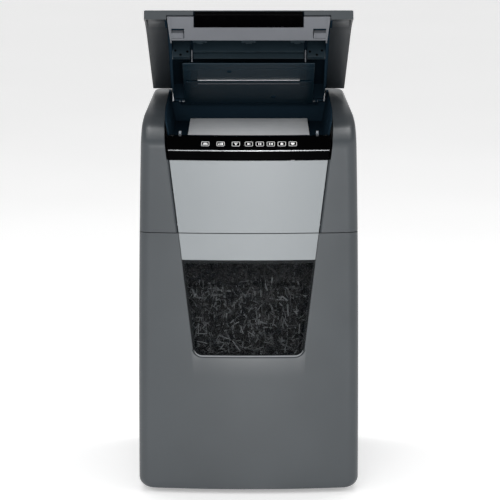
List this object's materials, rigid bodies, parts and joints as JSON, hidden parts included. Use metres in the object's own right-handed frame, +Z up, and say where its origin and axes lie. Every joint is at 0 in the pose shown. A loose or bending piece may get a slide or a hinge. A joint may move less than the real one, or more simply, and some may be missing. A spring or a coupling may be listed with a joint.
{
  "type": "paper shredder",
  "caption": "Free-standing auto-feed paper shredder with an open hinged lid, a feed chamber over interleaving cutters and a pull-out bin with a window.",
  "frame": {"origin": "on the floor under the middle of the body, at the bottom centre of the whole object's box", "axes": "+X to the right seen from the front, -Y towards the front, +Z up"},
  "size_m": [0.378, 0.43, 0.8264],
  "materials": {
    "body_plastic": "fine moulded texture",
    "dark_plastic": "satin moulded",
    "grey_plastic": "satin moulded",
    "gloss_black": "polished",
    "silver_paint": "silver painted, satin",
    "bright_metal": "bright",
    "steel": "ground",
    "zinc_plate": "zinc plated",
    "rubber": "moulded",
    "white_nylon": "natural nylon",
    "smoked_window": "smoked clear plastic",
    "circuit_board": "solder mask"
  },
  "bodies": {
    "cabinet": {"base_pan": "dark_plastic", "foot_1": "rubber", "foot_2": "rubber", "foot_3": "rubber", "foot_4": "rubber", "side_panel_left": "body_plastic", "side_panel_right": "body_plastic", "rear_panel": "body_plastic", "bin_rail_left": "zinc_plate", "bin_rail_right": "zinc_plate", "upper_housing": "body_plastic", "silver_panel": "silver_paint", "control_panel": "gloss_black", "trim_strip": "bright_metal", "feed_chamber": "dark_plastic", "latch_keeper_left": "steel", "latch_keeper_right": "steel", "hinge_bracket_left": "zinc_plate", "hinge_bracket_right": "zinc_plate", "inlet_socket": "dark_plastic", "fan_frame": "dark_plastic", "chassis_plate": "zinc_plate", "cutter_frame_left": "zinc_plate", "cutter_frame_right": "zinc_plate", "stripper_comb_front": "zinc_plate", "stripper_comb_rear": "zinc_plate", "motor": "zinc_plate", "control_board": "circuit_board", "power_supply": "zinc_plate"},
    "lid": {"lid_shell": "body_plastic", "lid_inner_panel": "grey_plastic", "lid_front_insert": "gloss_black", "lid_catch_left": "body_plastic", "lid_catch_right": "body_plastic", "lid_inner_frame": "dark_plastic", "lid_throat": "dark_plastic", "hinge_arm_left": "body_plastic", "hinge_arm_right": "body_plastic", "plate_pivot_rod": "steel"},
    "plate": {"pressure_plate": "dark_plastic", "slot_strip": "bright_metal"},
    "bin": {"bin_front": "body_plastic", "bin_silver_strip": "silver_paint", "bin_window": "smoked_window", "bin_tub": "dark_plastic"},
    "rocker": {"power_rocker": "gloss_black"},
    "fan": {"fan_rotor": "dark_plastic"},
    "cutter_rear": {"cutter_shaft_rear": "steel", "cutter_gear_rear": "white_nylon", "drive_gear": "white_nylon"},
    "cutter_front": {"cutter_shaft_front": "steel", "cutter_gear_front": "white_nylon"},
    "idler_front": {"idler_gear_front": "white_nylon"},
    "idler_rear": {"idler_gear_rear": "white_nylon"},
    "feed_front": {"feed_roller_front": "rubber", "feed_gear_front": "white_nylon"},
    "feed_rear": {"feed_roller_rear": "rubber", "feed_gear_rear": "white_nylon"},
    "motor_rotor": {"motor_shaft": "steel", "motor_pinion": "white_nylon"}
  },
  "joints": [
    {"name": "lid_hinge", "type": "hinge", "parent": "cabinet", "child": "lid", "pos_m": [0, 0.17, 0.65], "axis": [1, 0, 0], "range_deg": [0, 30]},
    {"name": "plate_pivot", "type": "hinge", "parent": "lid", "child": "plate", "pos_m": [0, 0.13453, 0.63757], "axis": [1, 0, 0], "range_deg": [-5, 0], "stiffness_Nm_per_rad": 1, "springref_deg": 20.05},
    {"name": "bin_slide", "type": "slide", "parent": "cabinet", "child": "bin", "axis": [0, -1, 0], "range_m": [0, 0.3]},
    {"name": "rocker_tilt", "type": "hinge", "parent": "cabinet", "child": "rocker", "pos_m": [-0.092, 0.209, 0.5], "axis": [1, 0, 0], "range_deg": [0, 16]},
    {"name": "fan_spin", "type": "hinge", "parent": "cabinet", "child": "fan", "pos_m": [0.095, 0.2025, 0.52], "axis": [0, 1, 0], "continuous": true},
    {"name": "cutter_rear_spin", "type": "hinge", "parent": "cabinet", "child": "cutter_rear", "pos_m": [0, 0.057, 0.515], "axis": [1, 0, 0], "continuous": true},
    {"name": "cutter_front_spin", "type": "hinge", "parent": "cabinet", "child": "cutter_front", "pos_m": [0, 0.007, 0.515], "axis": [1, 0, 0], "continuous": true},
    {"name": "idler_front_spin", "type": "hinge", "parent": "cabinet", "child": "idler_front", "pos_m": [0, -0.02823, 0.54686], "axis": [1, 0, 0], "continuous": true},
    {"name": "idler_rear_spin", "type": "hinge", "parent": "cabinet", "child": "idler_rear", "pos_m": [0, 0.09223, 0.54686], "axis": [1, 0, 0], "continuous": true},
    {"name": "feed_front_spin", "type": "hinge", "parent": "cabinet", "child": "feed_front", "pos_m": [0, -0.035, 0.5812], "axis": [1, 0, 0], "continuous": true},
    {"name": "feed_rear_spin", "type": "hinge", "parent": "cabinet", "child": "feed_rear", "pos_m": [0, 0.099, 0.5812], "axis": [1, 0, 0], "continuous": true},
    {"name": "motor_spin", "type": "hinge", "parent": "cabinet", "child": "motor_rotor", "pos_m": [0, 0.117, 0.515], "axis": [1, 0, 0], "continuous": true}
  ],
  "couplings": [
    {"joint": "cutter_front_spin", "follows": "cutter_rear_spin", "ratio": -1},
    {"joint": "idler_front_spin", "follows": "cutter_rear_spin", "ratio": 1.1111},
    {"joint": "idler_rear_spin", "follows": "cutter_rear_spin", "ratio": -1.1111},
    {"joint": "feed_front_spin", "follows": "cutter_rear_spin", "ratio": -2},
    {"joint": "feed_rear_spin", "follows": "cutter_rear_spin", "ratio": 2},
    {"joint": "motor_spin", "follows": "cutter_rear_spin", "ratio": -3}
  ]
}
